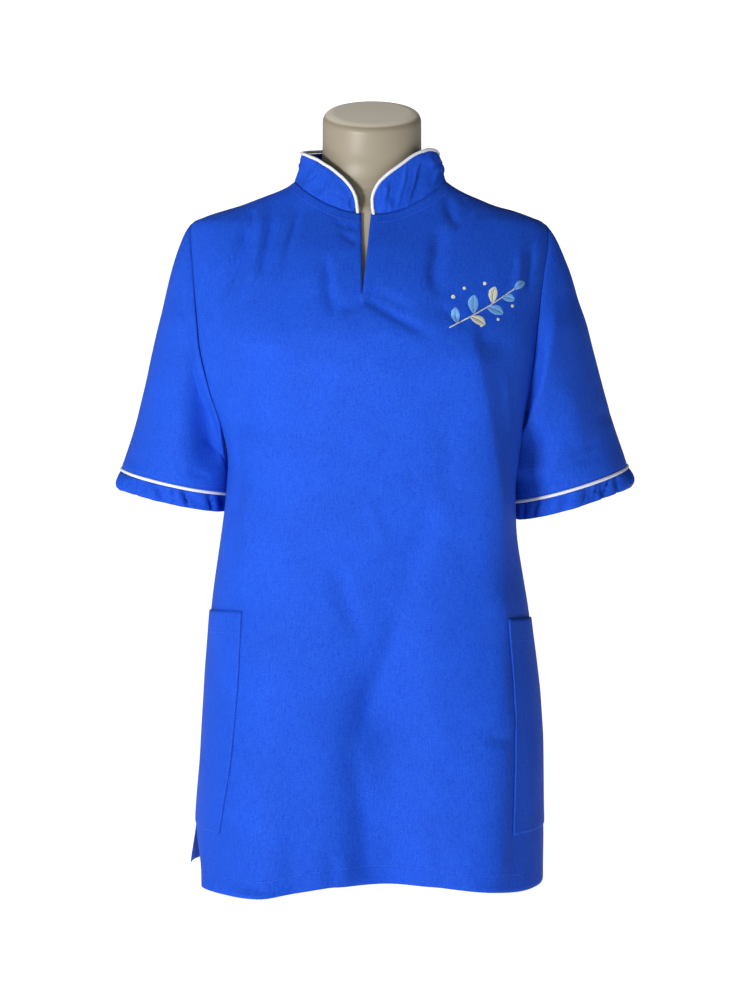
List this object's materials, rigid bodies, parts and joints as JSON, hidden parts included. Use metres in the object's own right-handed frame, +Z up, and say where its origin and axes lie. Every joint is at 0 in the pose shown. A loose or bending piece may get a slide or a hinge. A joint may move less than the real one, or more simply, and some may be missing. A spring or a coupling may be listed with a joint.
{
  "type": "work tunic on a dress form",
  "caption": "Short-sleeved work tunic with a stand collar, neck slit, patch pockets and side vents, worn on a smooth limbless dress form.",
  "frame": {"origin": "on the underside of the dress form's foot, below the middle of the neck, on the surface the part stands on", "axes": "+Z up, -Y out of the tunic's front, +X towards the wearer's left"},
  "size_m": [0.5817, 0.2816, 0.8616],
  "materials": {
    "tunic_cloth": "royal blue poly-cotton, plain weave with a faint sheen",
    "piping": "white bias piping",
    "form_shell": "smooth beige, soft satin",
    "foot": "plain dark, hidden in the tunic"
  },
  "bodies": {
    "root": {"front": "tunic_cloth", "back": "tunic_cloth", "sleeve_left": "tunic_cloth", "sleeve_right": "tunic_cloth", "band_left": "tunic_cloth", "band_right": "tunic_cloth", "collar": "tunic_cloth", "pocket_left": "tunic_cloth", "pocket_right": "tunic_cloth", "piping_left": "piping", "piping_right": "piping", "collar_piping": "piping", "form": "form_shell", "form_foot": "foot"}
  },
  "joints": []
}
